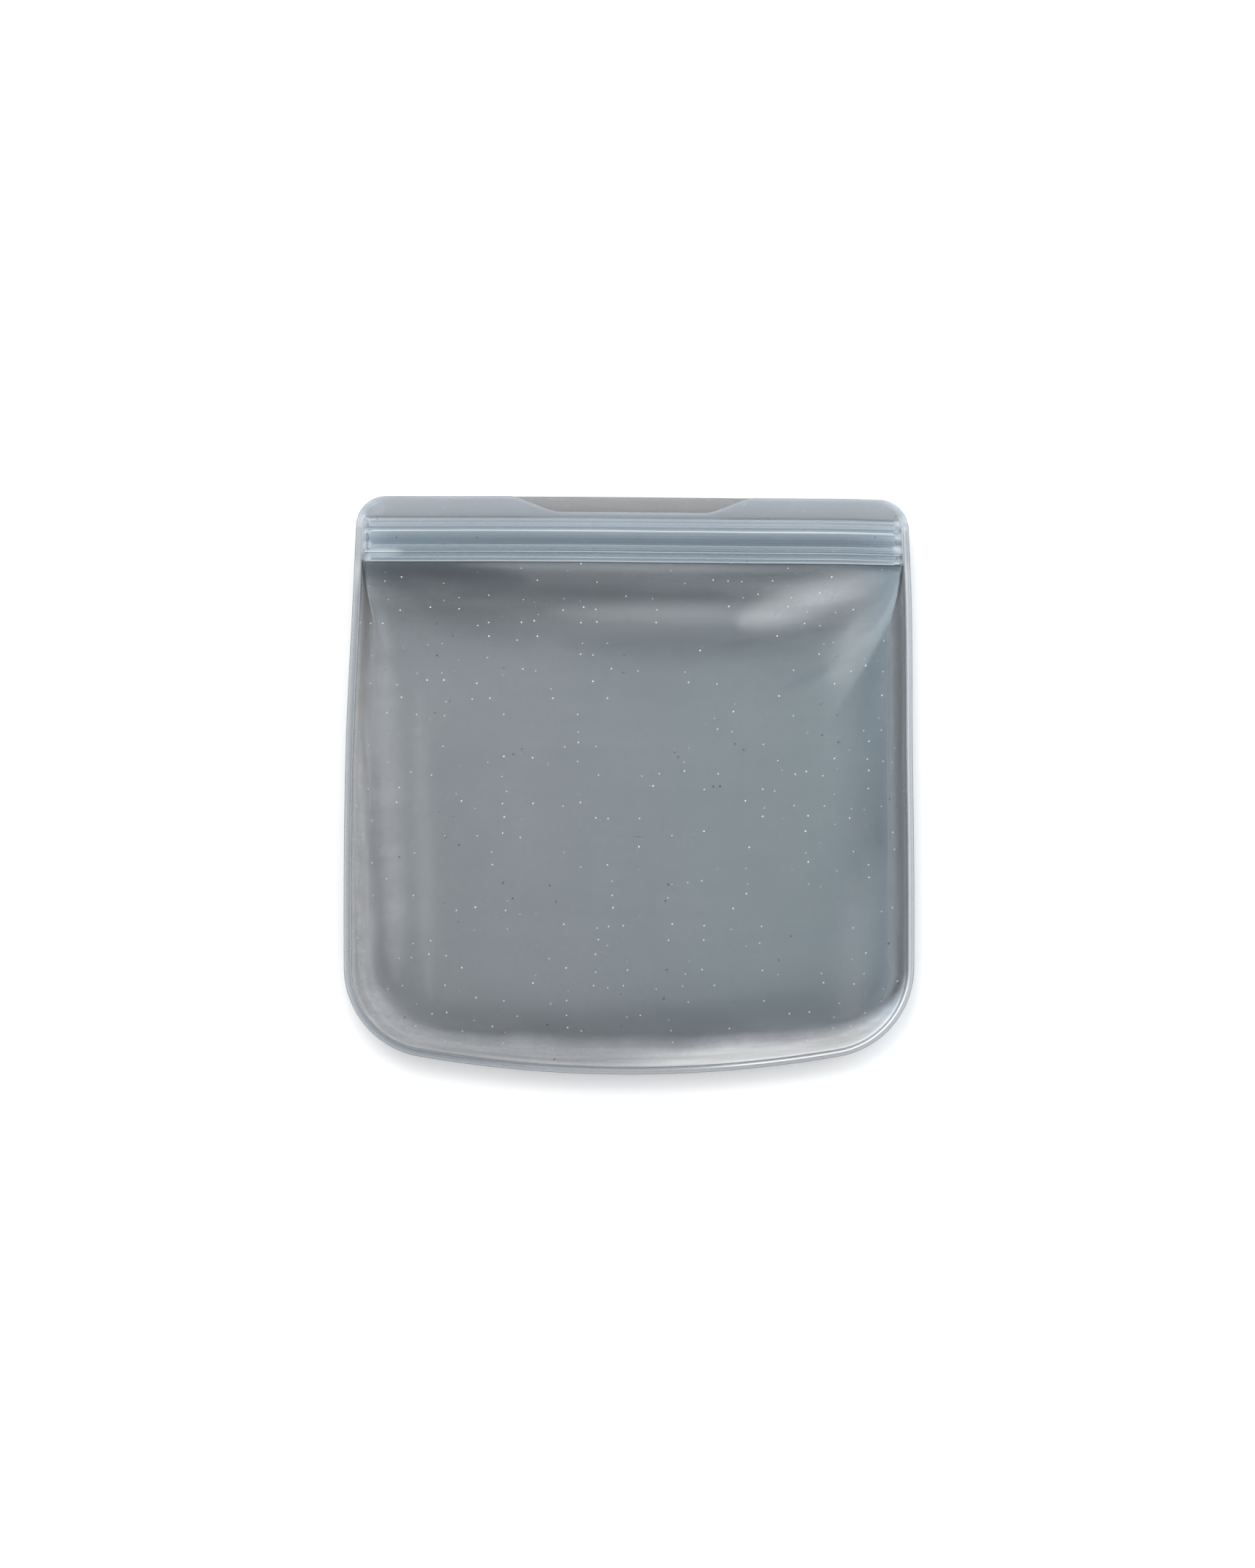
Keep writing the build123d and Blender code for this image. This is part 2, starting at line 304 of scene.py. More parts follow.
def film_rings(rise, run, zip_run, zip_lead, direction):
    """Rings of a panel's outer skin, from the seam in to the middle of its crown or floor."""
    table_angles = np.linspace(0, 90, 91)
    table = []
    start_run = run + FLANGE_WIDTH - FILM_START
    for angle in table_angles:
        turn = radians(angle)
        share = angle / 90
        inset = FILM_START + start_run * (1 - cos(turn))
        top = ZIP_FOOT_Y + zip_lead - zip_run * share
        seam_corner = BOTTOM_CORNER_RADIUS - FILM_START
        corner = seam_corner + (CROWN_CORNER_RADIUS - seam_corner) * share
        top_corner = 2.0 + (CROWN_CORNER_RADIUS - 2.0) * share**2
        table.append(outline(inset, top, corner, top_corner, COUNTS))
    table = np.array(table)
    count = table.shape[1]
    # The strip hides what lies above its foot, so the rings start at its foot there
    start = 90 * zip_lead / zip_run
    first = table[int(round(start))]
    zip_side = smooth_step((first[:, Y] - (ZIP_FOOT_Y - 1.5)) / 1.2)
    starts = start * zip_side
    rings = []
    for j in range(RINGS):
        share = j / (RINGS - 1)
        angles = starts + (90 - starts) * (0.55 * share + 0.45 * share**2)
        x = [np.interp(angles[i], table_angles, table[:, i, X]) for i in range(count)]
        y = [np.interp(angles[i], table_angles, table[:, i, Y]) for i in range(count)]
        z = SEAM_LEVEL + direction * rise * np.sin(np.radians(angles))
        rings.append(np.stack((x, y, z), 1))
    crown = rings[-1]
    middle = np.array((0.0, (crown[:, Y].max() + crown[:, Y].min()) / 2, crown[0, Z]))
    for j in range(1, CAP_RINGS):
        rings.append(middle + (crown - middle) * (1 - j / CAP_RINGS))
    return np.array(rings), middle


def panel(name, rings, middle):
    """A panel's skin as a mesh."""
    total, count = rings.shape[:2]
    points = np.concatenate((rings.reshape(-1, 3), [middle]))
    faces = ring_faces(total, count)
    last = (total - 1) * count
    faces += [(last + i, last + (i + 1) % count, total * count) for i in range(count)]
    return make_piece(name, points, faces)


def run_of(rings):
    """How far each point of a film is along its seam, in from it on the film, and in from it in plan."""
    round_seam = np.hypot(*(np.roll(rings[0], -1, 0) - rings[0])[:, :2].T)
    along = np.concatenate(([0], np.cumsum(round_seam)[:-1]))
    steps = np.linalg.norm(np.diff(rings, axis=0), axis=2)
    inward = np.concatenate((np.zeros((1, rings.shape[1])), np.cumsum(steps, 0)))
    plan_steps = np.hypot(*np.moveaxis(np.diff(rings, axis=0)[..., :2], 2, 0))
    in_plan = FILM_START + np.concatenate((np.zeros((1, rings.shape[1])), np.cumsum(plan_steps, 0)))
    return np.broadcast_to(along, inward.shape), inward, in_plan


def curl(x, y, in_plan, reach):
    """Painted light on a curled edge, as milk at each point: more to the right of the middle, less on the
    left and least along the right side.
    """
    right = smooth_step((x - 56) / 34) * smooth_step((y + 80) / 20)
    left = smooth_step((-60 - x) / 24) * smooth_step((y + 86) / 30)
    lit = smooth_step((x + 24) / 52)
    ragged = 1 + 0.16 * waves(x, y * 0.5, 17, 2.6) + 0.06 * waves(x, y * 0.5, 5, 5.2)
    wide = reach * ragged * (1 - 0.66 * smooth_step((x - 56) / 34) * smooth_step((y + 84) / 20))
    soft = smooth_step((wide - in_plan) / (0.55 * wide))
    return soft * (0.82 - 0.42 * left + 0.62 * lit) * (1 - 0.94 * right)


def whole(values):
    """Per-ring values as one list for both skins of a thickened film, with its middle point."""
    flat = values.reshape(-1, *values.shape[2:])
    one = np.concatenate((flat, flat[-1:]))
    return np.concatenate((one, one))


def slack(x, y):
    """How far the front film stands in or out of the even dome, in millimetres."""
    below_zip = ZIP_FOOT_Y - y
    held = smooth_step(below_zip / 14) * smooth_step((HALF_WIDTH - FLANGE_WIDTH - abs(x)) / 16)
    near_mouth = np.exp(-((below_zip - 24) / 22) ** 2)
    roll = 1.1 * near_mouth * wave(x * 0.35, y, 24, 3.1)
    broad = 0.7 * wave(x, y, 62, 9.4) + 0.22 * wave(x, y, 23, 17.2)
    fan_x, fan_y = 88 - abs(x), below_zip + 2
    fan_angle = np.arctan2(fan_y, fan_x)
    fan_reach = np.hypot(fan_x, fan_y)
    creases = 0.38 * np.sin(fan_angle * 9.0) * np.exp(-((fan_reach - 30) / 26) ** 2)
    return held * (roll + broad + creases)


# Soft strokes on the front film, of painted highlights and reflections and of painted shade: from, to, half
# width and strength
FILM_PAINTED_LIGHT_STROKES = (
    ((-92, 66), (-88, -20), 5.5, 0.10),
    ((-84, 60), (-77, -66), 8.0, 0.16),
    ((-70, 34), (-66, -74), 5.0, 0.06),
    ((86, 72), (34, 54), 9.5, 0.22),
    ((80, 66), (54, 60), 6.0, 0.06),
    ((88, 70), (66, 34), 10.0, 0.10),
    ((84, 40), (78, -30), 9.0, 0.04),
    ((84, -20), (72, -84), 12.0, 0.08),
    ((-30, 58), (62, 57), 6.0, 0.09),
    ((-60, 74), (60, 73), 2.4, 0.08),
    ((16, -86), (74, -80), 5.0, 0.08),
)
# Painted shade: the strip's shadow below the mouth, and darker streaks between the painted reflections
FILM_PAINTED_SHADE_STROKES = (
    ((-108, 75), (-34, 69), 9.0, 0.66),
    ((-62, 64), (50, 66), 6.0, 0.34),
    ((20, 72), (66, 71), 3.0, 0.14),
    ((-24, 47), (60, 46), 7.0, 0.18),
    ((-96, 60), (-36, 54), 9.0, 0.14),
    ((-66, 52), (-16, 50), 9.0, 0.08),
    ((26, 46), (80, 56), 2.8, 0.12),
    ((50, 32), (86, 48), 3.6, 0.08),
)


def make_front_film():
    """The front film in one piece, from the seam to the strip's foot, over the mouth's hinge."""
    rings, middle = film_rings(DOME_HEIGHT, DOME_RUN, DOME_ZIP_RUN, DOME_ZIP_LEAD, 1)
    for ring in rings:
        for point in ring:
            point[Z] += slack(*point[:2])
    middle[Z] += slack(*middle[:2])
    film = panel("front_film", rings, middle)
    thicken(film, FILM)
    along, inward, in_plan = run_of(rings)
    x, y = rings[..., X], rings[..., Y]
    # The right side lies in painted shade and gets less painted light
    shaded_side = smooth_step((x - 62) / 22) * smooth_step((y + 78) / 22)
    # Painted light as milk: the curled edge lit along the bottom, the strokes of painted highlights and
    # reflections, a lighter left side, and a painted glint just inside the seam
    milk = 0.44 * curl(x, y, in_plan, 15.0) * smooth_step((ZIP_FOOT_Y - 4 - y) / 26)
    for start, end, width, amount in FILM_PAINTED_LIGHT_STROKES:
        milk += amount * smudge(x, y, start, end, width)
    milk += 0.05 * smooth_step((-50 - x) / 35) * smooth_step((60 - y) / 40)
    painted_rim_glint = 0.05 + 0.26 * smooth_step((x - 10) / 40)
    milk += painted_rim_glint * (1 - shaded_side) * smooth_step((4.0 - in_plan) / 1.0) * smooth_step((70 - y) / 10)
    # Painted shade: a dark band just inside the right seam, and the strokes of painted shade
    shade = 0.62 * shaded_side * smooth_step((3.0 - inward) / 2.4)
    for start, end, width, amount in FILM_PAINTED_SHADE_STROKES:
        shade += amount * smudge(x, y, start, end, width)
    shade *= smooth_step((in_plan - 2.2) / 0.5)
    # How strongly the painted sheen streaks show along the edges, less on the shaded right side
    edge = smooth_step(1 - inward / 30) * smooth_step((ZIP_FOOT_Y - 6 - y) / 24)
    flow = np.stack((along, inward, np.zeros_like(inward)), 2)
    paint(film, whole(milk), whole(shade), whole(edge * (1 - 0.7 * shaded_side)), whole(flow))
    return film


def make_back_film():
    """The back film, flat on the table inside its curled edge."""
    rings, middle = film_rings(SEAM_LEVEL, FLOOR_RUN, FLOOR_ZIP_RUN, FLOOR_ZIP_LEAD, -1)
    film = panel("back_film", rings, middle)
    thicken(film, FILM)
    along, inward, in_plan = run_of(rings)
    x, y = rings[..., X], rings[..., Y]
    shaded_side = smooth_step((x - 62) / 22) * smooth_step((y + 78) / 22)
    # Painted light on the curled edge
    milk = 0.24 * curl(x, y, in_plan, 13.5)
    # How strongly the painted sheen streaks show along the edges, less on the shaded right side
    edge = smooth_step(1 - inward / 26) * smooth_step((ZIP_FOOT_Y - 6 - y) / 24)
    flow = np.stack((along, inward, np.full_like(inward, 7.0)), 2)
    paint(film, whole(milk), 0.0, whole(edge * (1 - 0.7 * shaded_side)), whole(flow))
    return film


# ---------------------------------------------------------------- seam

LIP_FOOT_Y = ZIP_TOP_Y - 0.12
# How far the lips' ends run down over the side seams, where the two fade into each other
LIP_OVERLAP = 2.8


def rounded(corners, radius, steps=3):
    """A closed profile with each corner turned into a short curve. Columns after the second follow."""
    corners = [np.array(c, float) for c in corners]
    points = []
    for i, corner in enumerate(corners):
        before, after = corners[i - 1] - corner, corners[(i + 1) % len(corners)] - corner
        long_before, long_after = np.hypot(*before[:2]), np.hypot(*after[:2])
        start = corner + before * min(radius / long_before, 0.45)
        end = corner + after * min(radius / long_after, 0.45)
        for k in range(steps + 1):
            t = k / steps
            points.append((1 - t) ** 2 * start + 2 * t * (1 - t) * corner + t * t * end)
    return np.array(points)


def make_seam():
    """The weld round both films in one length: a thin edge, and a bead where the films part."""
    top = LIP_FOOT_Y + 0.02
    # How far in, how high, how milky and how dark; the dark is painted shade, as in the line in the groove
    section_points = [
        (0.00, -0.25, 0.04, 0.00),
        (0.10, 0.25, 0.08, 0.00),
        (0.35, 0.62, 0.13, 0.00),
        (0.75, 0.66, 0.12, 0.02),
        (0.98, 0.62, 0.04, 0.16),
        (1.15, 0.85, 0.08, 0.08),
        (1.32, 1.25, 0.12, 0.00),
        (1.62, 1.42, 0.14, 0.00),
        (1.98, 1.30, 0.12, 0.00),
        (2.25, 1.00, 0.08, 0.00),
        (2.48, 0.50, 0.08, 0.00),
        (2.62, -0.10, 0.08, 0.00),
        (2.30, -0.75, 0.03, 0.00),
        (1.20, -0.90, 0.03, 0.00),
        (0.35, -0.72, 0.04, 0.00),
    ]
    counts = (2, 2, 90, 30, 64)
    profile = rounded(section_points, 0.25, 2)
    lines, milk, shade = [], [], []
    for inset, lift, milk_and_light, dark in profile:
        closed = outline(inset, top, BOTTOM_CORNER_RADIUS - inset, 0.0, counts)
        skip = counts[0] + counts[1]
        open_line = closed[skip : len(closed) - skip + 1].copy()
        rounding = np.array([side_x(y) - outer_x(y) for y in open_line[:, Y]])
        open_line[:, X] -= np.sign(open_line[:, X]) * rounding
        lines.append(np.column_stack((open_line, np.full(len(open_line), SEAM_LEVEL + lift))))
        milk.append(np.full(len(open_line), milk_and_light))
        shade.append(np.full(len(open_line), dark))
    rings = np.array(lines).transpose(1, 0, 2)
    total, count = rings.shape[:2]
    faces = ring_faces(total, count)
    faces.append(tuple(range(count - 1, -1, -1)))
    faces.append(tuple((total - 1) * count + i for i in range(count)))
    seam = make_piece("edge_seam", rings.reshape(-1, 3), faces)
    x, y = rings[..., X], rings[..., Y]
    # Painted glint: the bead's crest turns much milkier and whiter along the bottom, from the middle to the
    # right corner
    bead = smooth_step((rings[..., Z] - SEAM_LEVEL - 1.1) / 0.3)
    painted_bead_glint = smooth_step((x - 6) / 40) * (0.26 + 0.74 * smooth_step((-58 - y) / 18))
    left = smooth_step((-8 - x) / 60) * smooth_step((74 - y) / 12)
    beside_zip = smooth_step((y - 72) / 6)
    inner = smooth_step((profile[:, 0] - 0.9) / 0.4)
    milk_and_light = np.array(milk).T * (1 + 0.06 * waves(x, y, 14, 4.0)) * (1 + 6.0 * bead * painted_bead_glint)
    milk_and_light *= (1 - 0.5 * left * inner) * (1 - 0.3 * beside_zip)
    # Painted shade along the inside of the right seam; the seam is also darker beside the zip and on the
    # left
    right = smooth_step((x - 70) / 16) * smooth_step((y + 84) / 20)
    flank = smooth_step((profile[:, 0] - 1.95) / 0.3)
    dark = np.array(shade).T * (1 - beside_zip) + 0.22 * beside_zip + left * (0.16 + 0.22 * inner)
    dark += 0.40 * right * flank * (1 - beside_zip)
    fade = smooth_step((y - LIP_FOOT_Y + LIP_OVERLAP) / (LIP_OVERLAP - 0.2))
    low_flank = smooth_step((profile[:, 0] - 2.15) / 0.25)
    fade = np.maximum(fade, low_flank * np.maximum(smooth_step((y - ZIP_FOOT_Y) / 1.5), 0.9 * left))
    dark = dark * (1 - fade) - fade
    paint(seam, milk_and_light.ravel(), dark.ravel())
    return seam


# ---------------------------------------------------------------- mouth


def sweep(name, profile, stations, shape):
    """A closed profile run across the bag, shaped at each point by shape(x, y, z, milk, shade)."""
    rings = np.array([[shape(x, *row) for row in profile] for x in stations])
    count = len(profile)
    faces = ring_faces(len(stations), count)
    faces.append(tuple(range(count - 1, -1, -1)))
    faces.append(tuple((len(stations) - 1) * count + i for i in range(count)))
    rows = rings.reshape(-1, rings.shape[2])
    piece = make_piece(name, rows[:, :3], faces)
    paint(piece, rows[:, 3], rows[:, 4])
    return piece


def stations(half, step=1.5, close=0.35, ends=5.0):
    """Places across the bag, closer together near both ends."""
    middle = np.linspace(-half + ends, half - ends, int(2 * (half - ends) / step) + 1)
    right = np.linspace(half - ends, half, int(ends / close) + 1)[1:]
    return np.concatenate((-right[::-1], middle, right))


def fade_ends(half):
    """A shape whose ends, inside the fused ends of the strips, fade from sight."""

    def shape(x, y, z, milk, shade):
        return x, y, z, milk, shade - (shade + 1) * smooth_step((abs(x) - half + 1.6) / 1.4)

    return shape


STRIP_HALF = span("front_zip_strip", X)[1]
SEAM_WIDTH = 2.45
STRIP_INSET = 2.05
LOCK_END = STRIP_HALF - 1.0
# The lumps of fused silicone at the locks' ends repeat down the strip
LUMP_PITCH, LUMP_PHASE = 4.4, 1.5
# A cloudy patch at the left end of the lower lock, and a cloudy spot at the left end of the front lip
CLOUDY_PATCH = (-91, 78.2), (-76.5, 78.4)
CLOUDY_SPOT = -85.0, 93.2


def make_front_strip():
    """The front strip: fine ribs along both locks, and a hollow between them."""
    # How far below the strip's top, how high above the seam, how milky and how dark. The light lines along
    # the ribs are partly milkier silicone and partly painted highlights; the dark is painted shade, deepest
    # in the hollow between the locks, and below zero a fade to clear.
    corners = [
        (15.05, STRIP_UNDER, 0.00, 0.00),
        (15.05, 2.30, 0.10, 0.10),
        (14.95, 2.75, 0.42, 0.00),
        (14.62, 2.80, 0.40, 0.00),
        (14.40, 2.55, 0.10, 0.00),
        (13.85, 2.55, 0.11, 0.00),
        (13.72, 2.85, 0.30, 0.00),
        (13.36, 2.85, 0.30, 0.00),
        (13.22, 2.60, 0.08, 0.03),
        (11.88, 2.70, 0.02, 0.08),
        (11.76, 3.25, 0.34, 0.00),
        (11.44, 3.25, 0.32, 0.00),
        (11.30, 2.90, 0.03, 0.10),
        (10.70, 2.90, 0.08, 0.02),
        (9.66, 2.90, 0.08, 0.01),
        (9.50, 3.00, 0.19, 0.00),
        (9.24, 2.90, 0.19, 0.00),
        (9.06, 2.10, 0.00, 0.22),
        (7.90, 2.10, 0.00, 0.42),
        (7.82, 2.16, 0.03, 0.30),
        (7.66, 2.16, 0.03, 0.30),
        (7.56, 2.10, 0.00, 0.36),
        (6.95, 2.12, 0.00, 0.30),
        (6.80, 2.20, 0.03, 0.14),
        (6.00, 2.20, 0.03, 0.14),
        (5.90, 2.28, 0.08, 0.04),
        (5.72, 2.28, 0.10, 0.02),
        (5.50, 2.35, 0.14, 0.02),
        (5.28, 2.70, 0.28, 0.00),
        (4.98, 2.90, 0.36, 0.00),
        (4.84, 3.30, 0.50, 0.00),
        (4.38, 3.30, 0.50, 0.00),
        (4.22, 2.95, 0.30, 0.00),
        (3.90, 2.75, 0.07, 0.02),
        (3.16, 2.75, 0.05, 0.02),
        (2.98, 2.75, 0.20, 0.00),
        (2.48, 2.75, 0.18, 0.00),
        (2.36, 2.95, 0.24, 0.00),
        (2.04, 2.95, 0.24, 0.00),
        (1.90, 2.80, 0.22, 0.00),
        (0.90, 2.80, 0.22, 0.00),
        (0.78, 2.95, 0.24, 0.00),
        (0.46, 2.90, 0.26, 0.00),
        (0.28, 2.50, 0.28, -0.20),
        (-0.02, 2.30, 0.20, -0.40),
        (-0.02, STRIP_UNDER, 0.00, -0.40),
    ]
    profile = rounded([(ZIP_TOP_Y - down, *rest) for down, *rest in corners], 0.07, 1)

    def shape(x, y, z, milk, shade):
        down = ZIP_TOP_Y - y
        reach = outer_x(y) - STRIP_INSET
        to_seam = (reach - STRIP_HALF) * smooth_step((abs(x) - STRIP_HALF + 6) / 6)
        # The painted shade deepens towards the right
        shade *= 1 + 0.30 * smooth_step((x + 70) / 50)
        steps = np.sign(np.sin(down * 1.35 + (0.6 if x > 0 else 2.1)))
        step_in = 0.9 * steps + 0.7 * wave(down, 0, 2.3, 8.8)
        fused = smooth_step((abs(x) - STRIP_HALF + 2.3 + step_in) / 0.9)
        on_face = z > STRIP_UNDER + 0.1
        if on_face:
            flat = 2.2 + 0.35 * wave(x * 1.3, y * 1.8, 2.0, 5.5)
            flat *= 1 - 0.45 * smooth_step((abs(x) - STRIP_HALF + 1.2) / 1.2)
            z += (flat - z) * fused
            z += 0.03 * wave(x, y * 0.2, 14.0, 2.2)
            lump = np.cos(down * 2 * pi / LUMP_PITCH - LUMP_PHASE)
            milk += (0.24 + 0.13 * lump + 0.12 * wave(x * 1.2, y, 1.6, 3.3) - milk) * fused
            shade += (0.26 * smooth_step(-lump - 0.1) - shade) * fused
            milk += 0.30 * smudge(x, y, *CLOUDY_PATCH, 2.2, 2.0)
            milk *= 1 + 0.15 * wave(x, y * 2, 40, 1.2)
        end = smooth_step((abs(x) - STRIP_HALF + 0.7) / 0.6)
        shade -= (shade + 1) * end
        y += 0.08 * wave(x, y * 0.1, 21.0, 7.7) * on_face
        return x + np.sign(x) * to_seam, y, SEAM_LEVEL + z, milk, shade

    return sweep("front_zip_strip_moulding", profile, stations(STRIP_HALF), shape)


def make_back_strip():
    """The back strip, with a ridge under each lock."""
    foot, top = ZIP_FOOT_Y - 0.35, ZIP_TOP_Y + 0.1
    face, ridge, inner = -2.6, -3.3, -1.4
    corners = [
        (foot, inner),
        (foot, -2.8),
        (foot + 0.5, ridge),
        (foot + 4.0, ridge),
        (foot + 4.5, face),
        (top - 4.2, face),
        (top - 3.7, ridge),
        (top - 0.5, ridge),
        (top, -2.8),
        (top, inner),
    ]
    half = span("back_zip_strip", X)[1] - 0.3
    profile = [(y, SEAM_LEVEL + z, 0.0, 0.0) for y, z in rounded(corners, 0.25, 2)]
    return sweep("back_zip_strip_moulding", profile, stations(half), fade_ends(half))


def make_rib(name):
    """A tapered rib with a round tip."""
    low_y, high_y = span(name, Y)
    low_z, high_z = span(name, Z)
    middle = (low_y + high_y) / 2
    half_tip = 0.45
    corners = [
        (low_y, high_z + 0.05),
        (high_y, high_z + 0.05),
        (middle + half_tip, low_z),
        (middle - half_tip, low_z),
    ]
    profile = [(*row, 0.0, 0.0) for row in rounded(corners, 0.3, 3)]
    return sweep(name + "_moulding", profile, stations(LOCK_END - 0.3), fade_ends(LOCK_END - 0.3))


def make_channel(name):
    """The two walls that hold a rib, joined by the floor they stand on."""
    low_y, high_y = span(name, Y)
    low_z, high_z = span(name, Z)
    middle, half = (low_y + high_y) / 2, (high_y - low_y) / 2
    mouth, throat = 1.35, 0.75
    corners = [
        (-half, low_z - 0.1),
        (half, low_z - 0.1),
        (half, high_z),
        (mouth, high_z),
        (throat, low_z + 0.3),
        (-throat, low_z + 0.3),
        (-mouth, high_z),
        (-half, high_z),
    ]
    profile = [(middle + y, z, 0.0, 0.0) for y, z in rounded(corners, 0.15, 2)]
    return sweep(name + "_moulding", profile, stations(LOCK_END), fade_ends(LOCK_END))


NOTCH_TOP, NOTCH_FLOOR, NOTCH_DEPTH = 40.5, 25.0, 5.1


def free_edge(x, notch):
    """The y of a lip's free edge at x, away from its corners."""
    if not notch:
        return TOP_Y
    slope = np.clip((NOTCH_TOP - abs(x)) / (NOTCH_TOP - NOTCH_FLOOR), 0, 1)
    eased = smooth_step(slope)
    return TOP_Y - NOTCH_DEPTH * (0.6 * slope + 0.4 * eased)


# The share of a lip's half width that its end over the seam takes up
TAB_SHARE = 0.024


def make_lip(name, foot, level, thickness, notch, seed, overlap=0.0, narrow=0.0):
    """A lip: a closed flap with round edges and top corners.

    It may have a notch, ends that run down over the side seams by overlap, and be narrow at each side.
    """
    corner_y = TOP_Y - TOP_CORNER
    lower = np.linspace(foot, corner_y, 3)[:-1] if foot < corner_y else []
    first = np.arcsin(np.clip((foot - corner_y) / TOP_CORNER, 0, 1))
    rows = np.concatenate((lower, corner_y + TOP_CORNER * np.sin(np.linspace(first, pi / 2, 18))))
    rows[-1] = TOP_Y
    rows = np.unique(np.concatenate((rows, TOP_Y - np.array((0.04, 0.12, 0.25, 0.45, 0.8)))))
    corner_x = side_x(corner_y) - TOP_CORNER
    fine = 1 - np.array((0, 0.0005, 0.0015, 0.003, 0.006, 0.010, 0.016, 0.024, 0.034))
    columns = np.concatenate((-fine, np.linspace(-0.96, 0.96, 181), fine[::-1]))
    half_thick = thickness / 2
    edge_round = 0.55
    skins, milk_and_light, dark = [], [], []
    for way in (1, -1):
        for t in columns:
            for row in rows:
                tab = smooth_step((TAB_SHARE + 0.01 - (1 - abs(t))) / 0.01)
                top = free_edge(t * outer_x(row), notch)
                low = foot - overlap * tab
                y = low + (row - foot) * (top - low) / (TOP_Y - foot)
                level_row = row + (y - row) * tab
                reach = outer_x(level_row) - narrow
                x = t * reach
                past_corner = abs(x) + narrow - corner_x
                if past_corner > 0 and level_row > corner_y:
                    inside = TOP_CORNER - np.hypot(past_corner, level_row - corner_y)
                else:
                    inside = min(top - y, reach - abs(x))
                close = np.clip(inside / edge_round, 0, 1)
                lift = way * half_thick * sqrt(1 - (1 - close) ** 2)
                up = max(y - foot, 0) / (TOP_Y - foot)
                lift += 0.25 * up * wave(x, 0, 34, seed) + 0.08 * up * wave(x, y, 11, seed + 1)
                skins.append((x, y, level + lift))
                rim = (0.20 if notch else 0.05) * smooth_step((2.3 - inside) / 0.7)
                rim *= smooth_step((abs(x) - 80) / 9)
                # Painted light: lighter along the free edge and towards the top
                lit = 0.18 * smooth_step((1.6 - inside) / 1.6) + 0.07 * up
                from_spot = np.hypot(x - CLOUDY_SPOT[X], y - CLOUDY_SPOT[Y])
                spot = 0.10 * smooth_step((2.4 - from_spot) / 0.5) if notch else 0.0
                milk_and_light.append(rim + lit + spot)
                if overlap:
                    fade = smooth_step((foot - y) / (overlap - 0.2))
                else:
                    fade = smooth_step((foot + 2.4 - y) / 2.2) * tab
                dark.append(-fade)
    n, m = len(rows), len(columns)
    faces = []
    for i in range(m - 1):
        for j in range(n - 1):
            a = i * n + j
            faces.append((a, a + n, a + n + 1, a + 1))
            a += m * n
            faces.append((a, a + 1, a + n + 1, a + n))
    for i in range(m - 1):
        a, b = i * n, i * n + m * n
        faces.append((a, b, b + n, a + n))
    lip = make_piece(name, skins, faces)
    paint(lip, milk_and_light, dark)
    weld_copies(lip)
    return lip


def weld_copies(obj):
    """Joins vertices that lie on each other."""
    bm = bmesh.new()
    bm.from_mesh(obj.data)
    bmesh.ops.remove_doubles(bm, verts=bm.verts, dist=0.002 * MM)
    bmesh.ops.recalc_face_normals(bm, faces=bm.faces)
    bm.to_mesh(obj.data)
    bm.free()


def make_front_lip():
    """The notched lip, whose ends run down over the side seams."""
    low, high = span("front_lip", Z)
    return make_lip("front_lip_flap", LIP_FOOT_Y, (low + high) / 2, 1.1, True, 1.7, LIP_OVERLAP, 0.24)


def make_back_lip():
    """The plain lip behind it, with a straight free edge."""
    low, high = span("back_lip", Z)
    return make_lip("back_lip_flap", LIP_FOOT_Y, (low + high) / 2, 1.1, False, 6.3)


def make_end_seal(name, way):
    """The crushed end of the locks: a lumpy plug of fused silicone."""
    low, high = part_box(name)
    low, high = np.array(low) / MM, np.array(high) / MM
    nx, ny = 14, 60
    points, faces = [], []
    for side in (1, -1):
        for i in range(nx + 1):
            for j in range(ny + 1):
                u, v = i / nx, j / ny
                y = low[Y] + 0.2 + (high[Y] - low[Y] - 0.4) * v
                reach = 0.55 * wave(3.3, y, 2.2, 4.4 * way) + 0.35 * wave(1.3, y, 0.9, 8.1 * way)
                outer = way * (outer_x(y) - SEAM_WIDTH)
                inner = way * (LOCK_END - 0.5 - reach)
                x = outer + (inner - outer) * u
                edge = min(u, 1 - u, v * 3, (1 - v) * 3)
                swell = smooth_step(edge / 0.5)
                lump = 0.3 * wave(x, y, 1.7, 2.5)
                middle = (low[Z] + high[Z]) / 2
                z = middle + side * ((high[Z] - low[Z]) / 2 * 0.9 + lump) * swell
                points.append((x, y, z))
    size = (nx + 1) * (ny + 1)
    for s in range(2):
        for i in range(nx):
            for j in range(ny):
                a = s * size + i * (ny + 1) + j
                faces.append((a, a + ny + 1, a + ny + 2, a + 1))
    seal = make_piece(name + "_weld", points, faces)
    rows = np.array(points)
    lumps = np.cos((ZIP_TOP_Y - rows[:, Y]) * 2 * pi / LUMP_PITCH - LUMP_PHASE)
    paint(
        seal,
        0.16 + 0.14 * lumps + 0.08 * waves(rows[:, X], rows[:, Y], 1.2, 6.1 * way),
        0.30 * smooth_step(-lumps - 0.2),
    )
    weld_copies(seal)
    return seal


# ---------------------------------------------------------------- materials

ROUGHNESS = 0.22
REFRACTION = 1.41


def node_tree(name):
    """A new material with an empty node tree."""
    material = bpy.data.materials.new(name)
    material.use_nodes = True
    tree = material.node_tree
    tree.nodes.clear()
    return material, tree


def add(tree, kind, **values):
    """A node with named inputs or properties set."""
    node = tree.nodes.new(kind)
    for key, value in values.items():
        if key in node.inputs:
            node.inputs[key].default_value = value
        else:
            setattr(node, key, value)
    return node


